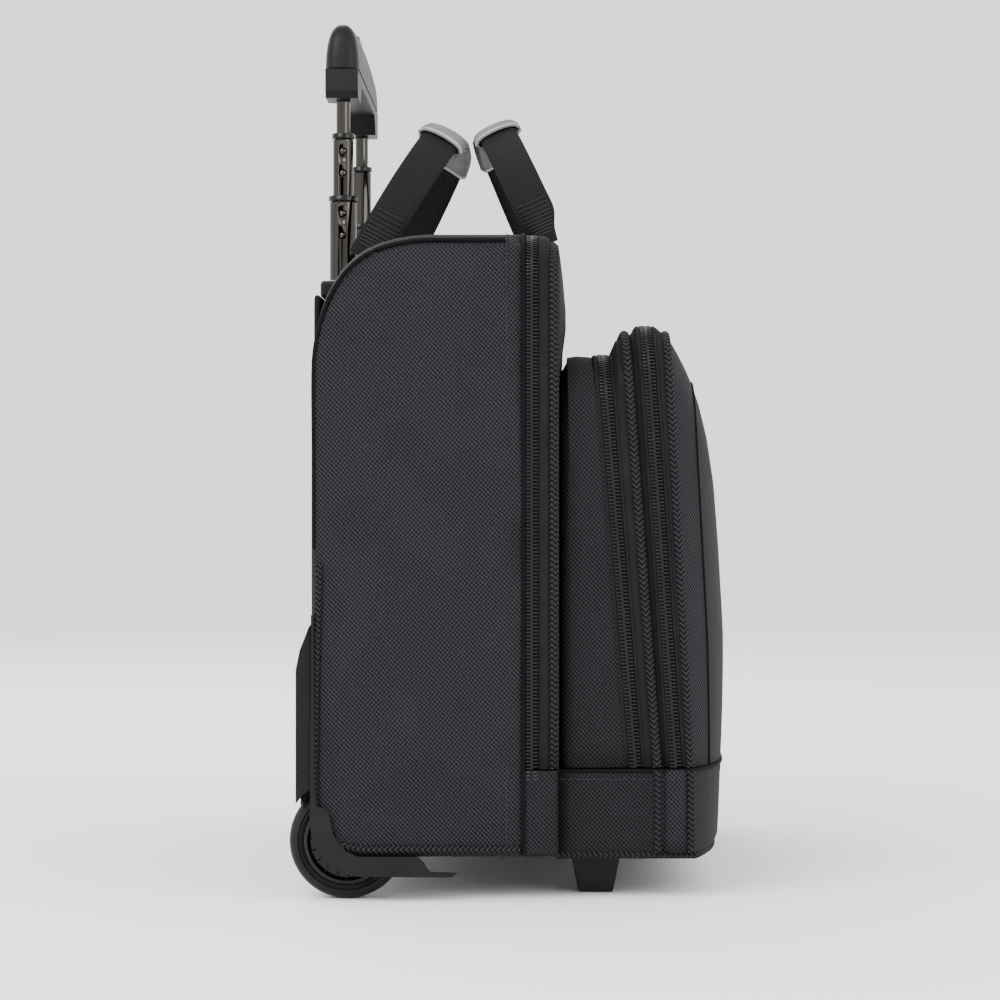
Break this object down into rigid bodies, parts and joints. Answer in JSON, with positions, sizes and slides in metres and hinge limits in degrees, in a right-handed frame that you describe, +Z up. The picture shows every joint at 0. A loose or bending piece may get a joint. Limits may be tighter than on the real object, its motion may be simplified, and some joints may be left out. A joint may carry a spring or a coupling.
{
  "type": "rolling laptop case",
  "caption": "Soft rolling laptop case with a telescopic handle, wheels, carry handles, zippered compartments and front feet.",
  "frame": {"origin": "middle of the bounding box, on the floor", "axes": "+Z up, the front pockets face -Y, the wheels and telescopic handle are at +Y, width along X"},
  "size_m": [0.431, 0.2497, 0.5135],
  "materials": {
    "body_fabric": "ballistic weave",
    "strap_webbing": "woven webbing",
    "grip_wrap": "smooth padded wrap",
    "lining": "plain lining",
    "moulded_plastic": "fine moulded grain",
    "button_plastic": "smooth",
    "zipper_teeth": "nylon coil",
    "wheel_rubber": "matte",
    "foot_rubber": "matte",
    "steel": "plain",
    "gunmetal_tube": "dark chrome",
    "zipper_metal": "dark plated"
  },
  "bodies": {
    "case": {"main_shell": "body_fabric", "back_board": "lining", "back_panel": "body_fabric", "laptop_divider": "lining", "kick_plate": "moulded_plastic", "corner_guard_left": "moulded_plastic", "corner_guard_right": "moulded_plastic", "wheel_housing_left": "moulded_plastic", "wheel_housing_right": "moulded_plastic", "axle_left": "steel", "axle_right": "steel", "front_foot_left": "foot_rubber", "front_foot_right": "foot_rubber", "front_base": "body_fabric", "main_base_band": "body_fabric", "handle_bezel": "moulded_plastic", "tube_bracket": "steel", "fixed_tube_left": "steel", "fixed_tube_right": "steel", "main_teeth_rear": "zipper_teeth"},
    "wheel_left": {"wheel_tyre_left": "wheel_rubber", "wheel_hub_left": "moulded_plastic", "wheel_bearing_left": "steel"},
    "wheel_right": {"wheel_tyre_right": "wheel_rubber", "wheel_hub_right": "moulded_plastic", "wheel_bearing_right": "steel"},
    "stage_a": {"stage_a_tube_left": "gunmetal_tube", "stage_a_tube_right": "gunmetal_tube", "stage_a_collar_left": "moulded_plastic", "stage_a_collar_right": "moulded_plastic"},
    "stage_b": {"stage_b_tube_left": "gunmetal_tube", "stage_b_tube_right": "gunmetal_tube", "stage_b_collar_left": "moulded_plastic", "stage_b_collar_right": "moulded_plastic"},
    "grip": {"stage_c_tube_left": "gunmetal_tube", "stage_c_tube_right": "gunmetal_tube", "grip_base": "moulded_plastic", "grip_cover": "moulded_plastic"},
    "button": {"release_button": "button_plastic"},
    "rear_handle": {"rear_handle_strap": "strap_webbing", "rear_handle_wrap": "grip_wrap"},
    "front_handle": {"front_handle_strap": "strap_webbing", "front_handle_wrap": "grip_wrap"},
    "front_section": {"front_panel": "body_fabric", "main_teeth_front": "zipper_teeth", "organizer_gusset": "body_fabric", "organizer_teeth_rear": "zipper_teeth"},
    "organizer_flap": {"organizer_cover": "body_fabric", "organizer_teeth_front": "zipper_teeth", "pocket_teeth_rear": "zipper_teeth"},
    "pocket_flap": {"pocket_cover": "body_fabric", "pocket_teeth_front": "zipper_teeth"},
    "main_left_slider_body": {"main_left_slider": "zipper_metal"},
    "main_left_pull_body": {"main_left_pull": "zipper_metal"},
    "main_right_slider_body": {"main_right_slider": "zipper_metal"},
    "main_right_pull_body": {"main_right_pull": "zipper_metal"},
    "organizer_slider_body": {"organizer_slider": "zipper_metal"},
    "organizer_pull_body": {"organizer_pull": "zipper_metal"},
    "pocket_slider_body": {"pocket_slider": "zipper_metal"},
    "pocket_pull_body": {"pocket_pull": "zipper_metal"}
  },
  "joints": [
    {"name": "wheel_spin_left", "type": "hinge", "parent": "case", "child": "wheel_left", "pos_m": [-0.1915, 0.0923, 0.0327], "axis": [1, 0, 0], "continuous": true},
    {"name": "wheel_spin_right", "type": "hinge", "parent": "case", "child": "wheel_right", "pos_m": [0.1915, 0.0923, 0.0327], "axis": [1, 0, 0], "continuous": true},
    {"name": "stage_a_slide", "type": "slide", "parent": "case", "child": "stage_a", "axis": [0, 0, 1], "range_m": [-0.046, 0.17]},
    {"name": "stage_b_slide", "type": "slide", "parent": "stage_a", "child": "stage_b", "axis": [0, 0, 1], "range_m": [-0.033, 0.18]},
    {"name": "grip_slide", "type": "slide", "parent": "stage_b", "child": "grip", "axis": [0, 0, 1], "range_m": [-0.018, 0.195]},
    {"name": "button_press", "type": "slide", "parent": "grip", "child": "button", "axis": [0, 0, 1], "range_m": [-0.004, 0], "stiffness_N_per_m": 400, "springref_m": 0.0005},
    {"name": "rear_handle_swing", "type": "hinge", "parent": "case", "child": "rear_handle", "pos_m": [0, 0.0869, 0.366], "axis": [1, 0, 0], "range_deg": [-12, 0]},
    {"name": "front_handle_swing", "type": "hinge", "parent": "front_section", "child": "front_handle", "pos_m": [0, -0.0212, 0.3755], "axis": [1, 0, 0], "range_deg": [0, 75]},
    {"name": "front_section_fold", "type": "hinge", "parent": "case", "child": "front_section", "pos_m": [0, -0.124, 0.0735], "axis": [1, 0, 0], "range_deg": [0, 35]},
    {"name": "organizer_fold", "type": "hinge", "parent": "front_section", "child": "organizer_flap", "pos_m": [0, -0.124, 0.0735], "axis": [1, 0, 0], "range_deg": [0, 35]},
    {"name": "pocket_fold", "type": "hinge", "parent": "organizer_flap", "child": "pocket_flap", "pos_m": [0, -0.124, 0.0735], "axis": [1, 0, 0], "range_deg": [0, 20]},
    {"name": "main_left_slide", "type": "slide", "parent": "case", "child": "main_left_slider_body", "axis": [1, 0, 0], "range_m": [-0.16, 0]},
    {"name": "main_left_pull_flip", "type": "hinge", "parent": "main_left_slider_body", "child": "main_left_pull_body", "pos_m": [-0.0175, -0.0114, 0.3785], "axis": [0, 1, 0], "range_deg": [0, 150]},
    {"name": "main_right_slide", "type": "slide", "parent": "case", "child": "main_right_slider_body", "axis": [1, 0, 0], "range_m": [0, 0.16]},
    {"name": "main_right_pull_flip", "type": "hinge", "parent": "main_right_slider_body", "child": "main_right_pull_body", "pos_m": [0.0175, -0.0114, 0.3785], "axis": [0, -1, 0], "range_deg": [0, 150]},
    {"name": "organizer_slide", "type": "slide", "parent": "front_section", "child": "organizer_slider_body", "axis": [1, 0, 0], "range_m": [-0.15, 0.135]},
    {"name": "organizer_pull_flip", "type": "hinge", "parent": "organizer_slider_body", "child": "organizer_pull_body", "pos_m": [0.0075, -0.05149, 0.3117], "axis": [0, -1, 0], "range_deg": [0, 150]},
    {"name": "pocket_slide", "type": "slide", "parent": "organizer_flap", "child": "pocket_slider_body", "axis": [1, 0, 0], "range_m": [-0.15, 0.135]},
    {"name": "pocket_pull_flip", "type": "hinge", "parent": "pocket_slider_body", "child": "pocket_pull_body", "pos_m": [0.0075, -0.07565, 0.3282], "axis": [0, -1, 0], "range_deg": [0, 150]}
  ]
}
